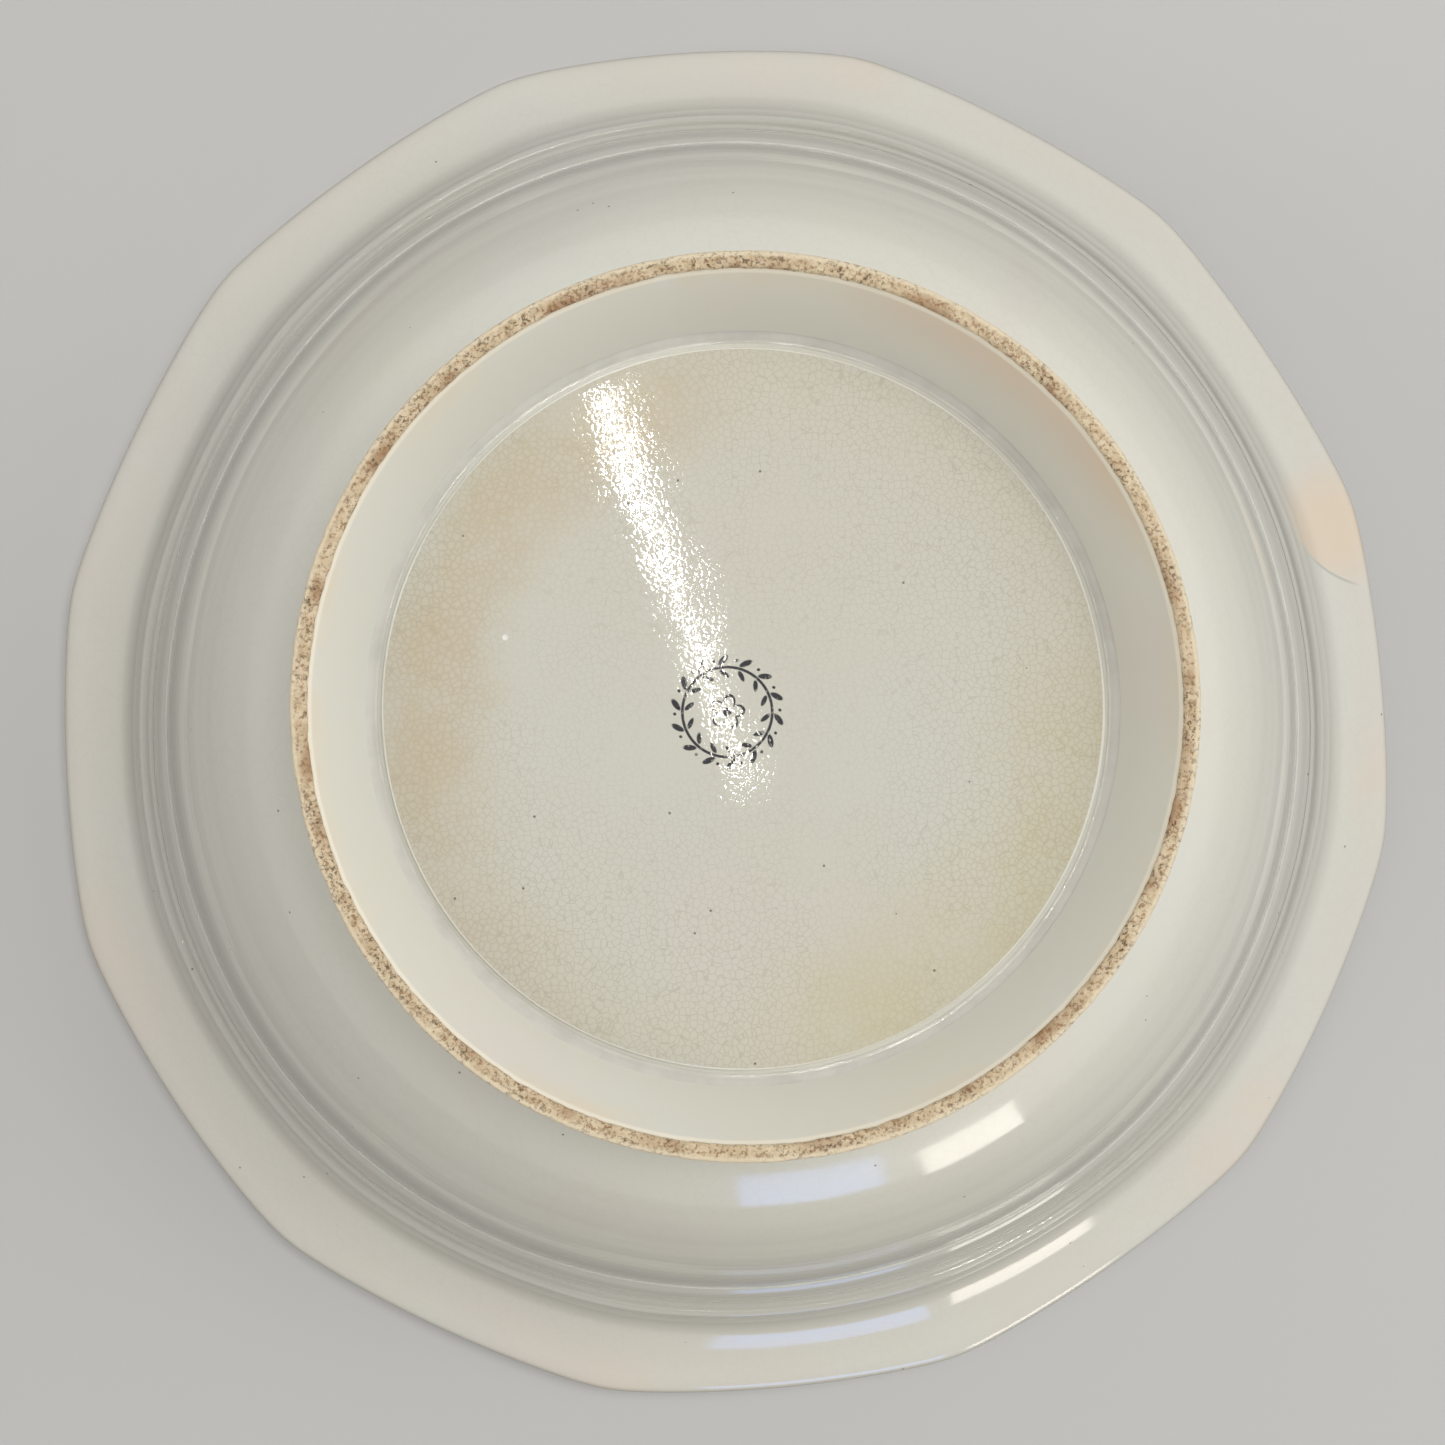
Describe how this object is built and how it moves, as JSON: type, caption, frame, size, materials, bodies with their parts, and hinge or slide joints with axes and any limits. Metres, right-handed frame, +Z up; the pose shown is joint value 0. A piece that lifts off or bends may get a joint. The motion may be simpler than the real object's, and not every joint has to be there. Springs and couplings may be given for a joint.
{
  "type": "footed serving bowl",
  "caption": "Deep round serving bowl in white glazed ware on a turned foot ring, with a wide flared twelve-sided rim and a beaded moulding under it.",
  "frame": {"origin": "middle of the foot ring's flat lip, on the surface that the bowl stands on", "axes": "+Z up the bowl's axis from foot to rim, +X square to one of the twelve rim sides"},
  "size_m": [0.2506, 0.2506, 0.088],
  "materials": {
    "shell_glaze": "clear glaze over white ware, finely crazed, with tea-coloured stains",
    "rim_glaze": "clear glaze over white ware",
    "foot_clay": "glazed sides and a bare, brown-stained lip",
    "rim_slip": "glazed slip",
    "foot_slip": "glazed slip under pooled blue-grey glaze"
  },
  "bodies": {
    "root": {"bowl_shell": "shell_glaze", "rim_flange": "rim_glaze", "foot_ring": "foot_clay", "rim_luting": "rim_slip", "foot_luting": "foot_slip"}
  },
  "joints": []
}
